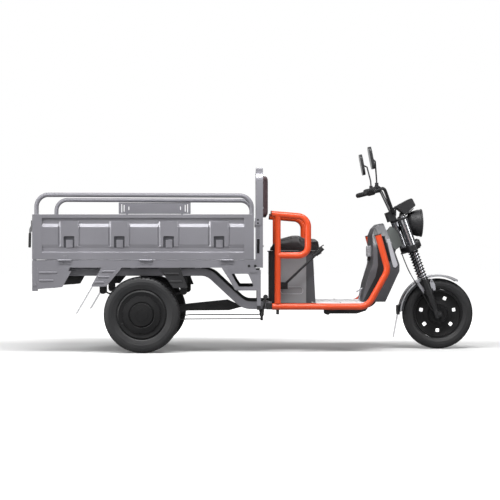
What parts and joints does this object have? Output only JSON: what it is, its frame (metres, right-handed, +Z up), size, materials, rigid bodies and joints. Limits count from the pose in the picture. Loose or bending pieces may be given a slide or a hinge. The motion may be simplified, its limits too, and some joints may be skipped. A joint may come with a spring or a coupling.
{
  "type": "electric cargo tricycle",
  "caption": "Electric three-wheeled cargo tricycle with a drop-side bed, hoop rails, rider's seat over a battery box, leg shield and sprung front fork.",
  "frame": {"origin": "on the ground under the middle of the vehicle's box", "axes": "+X forward, +Y to the rider's left, +Z up"},
  "size_m": [2.9719, 1.03, 1.3554],
  "materials": {
    "body_grey": "satin grey paint",
    "guard_orange": "gloss orange paint",
    "chassis_black": "satin black paint",
    "floor_plate": "pale chequered plate",
    "rubber_black": "moulded rubber",
    "flap_pale": "pale soft plastic",
    "tyre_rubber": "black tyre",
    "hub_black": "satin black paint",
    "seat_cover": "black grained cover",
    "backrest_cover": "dark brown grained cover",
    "plastic_dark": "grained dark grey plastic",
    "plastic_grey": "satin grey plastic",
    "trim_silver": "satin silver",
    "fork_steel": "dark chrome",
    "fork_black": "satin black paint",
    "lamp_red": "clear red lens"
  },
  "bodies": {
    "chassis": {"frame_rails": "body_grey", "cross_members": "body_grey", "front_frame": "chassis_black", "rear_axle": "chassis_black", "drive_motor": "chassis_black", "leaf_springs": "chassis_black", "brake_linkage": "chassis_black", "bed_floor": "body_grey", "headboard": "body_grey", "backrest": "backrest_cover", "bed_skirts": "body_grey", "rear_beam": "body_grey", "tail_lamps": "lamp_red", "mudflaps": "flap_pale", "seat_box": "plastic_grey", "battery": "plastic_dark", "footboard": "floor_plate", "floor_tubes": "guard_orange", "guard_hoops": "guard_orange", "leg_shield": "plastic_dark", "shield_trim": "trim_silver", "hand_brake": "chassis_black", "arch_guards": "chassis_black", "tube_caps": "plastic_dark", "brake_pedal": "trim_silver"},
    "seat_lid": {"seat_pan": "plastic_dark", "seat": "seat_cover"},
    "gate_right": {"side_gate_right": "body_grey", "rail_hoop_right": "body_grey"},
    "gate_left": {"side_gate_left": "body_grey", "rail_hoop_left": "body_grey", "rail_plate": "body_grey"},
    "tailgate": {"tailgate": "body_grey", "tailgate_latches": "rubber_black"},
    "rear_wheel_right": {"rear_tyre_right": "tyre_rubber", "rear_hub_right": "hub_black"},
    "rear_wheel_left": {"rear_tyre_left": "tyre_rubber", "rear_hub_left": "hub_black"},
    "steering": {"fork_crown": "chassis_black", "fork_legs": "fork_black", "fork_springs": "fork_black", "front_fender": "fork_steel", "handlebar": "chassis_black", "hand_grips": "rubber_black", "controls": "plastic_dark", "mirrors": "plastic_dark", "headlight": "plastic_dark", "instrument_pod": "plastic_dark", "brake_cable": "rubber_black", "front_flap": "flap_pale"},
    "front_wheel": {"front_tyre": "tyre_rubber", "front_rim": "hub_black"}
  },
  "joints": [
    {"name": "steer", "type": "hinge", "parent": "chassis", "child": "steering", "pos_m": [1.01642, 0, 0.69036], "axis": [-0.3355, 0, 0.9421], "range_deg": [-40, 40]},
    {"name": "front_wheel_roll", "type": "hinge", "parent": "steering", "child": "front_wheel", "pos_m": [1.245, 0, 0.241], "axis": [0, 1, 0], "continuous": true},
    {"name": "rear_wheel_right_roll", "type": "hinge", "parent": "chassis", "child": "rear_wheel_right", "pos_m": [-0.745, -0.43, 0.251], "axis": [0, 1, 0], "continuous": true},
    {"name": "rear_wheel_left_roll", "type": "hinge", "parent": "chassis", "child": "rear_wheel_left", "pos_m": [-0.745, 0.43, 0.251], "axis": [0, 1, 0], "continuous": true},
    {"name": "tailgate_drop", "type": "hinge", "parent": "chassis", "child": "tailgate", "pos_m": [-1.463, 0, 0.608], "axis": [0, -1, 0], "range_deg": [0, 175]},
    {"name": "gate_right_drop", "type": "hinge", "parent": "chassis", "child": "gate_right", "pos_m": [-0.7335, -0.508, 0.608], "axis": [1, 0, 0], "range_deg": [0, 175]},
    {"name": "gate_left_drop", "type": "hinge", "parent": "chassis", "child": "gate_left", "pos_m": [-0.7335, 0.508, 0.608], "axis": [-1, 0, 0], "range_deg": [0, 175]},
    {"name": "seat_lift", "type": "hinge", "parent": "chassis", "child": "seat_lid", "pos_m": [0.437, 0, 0.662], "axis": [0, 1, 0], "range_deg": [0, 75]}
  ]
}
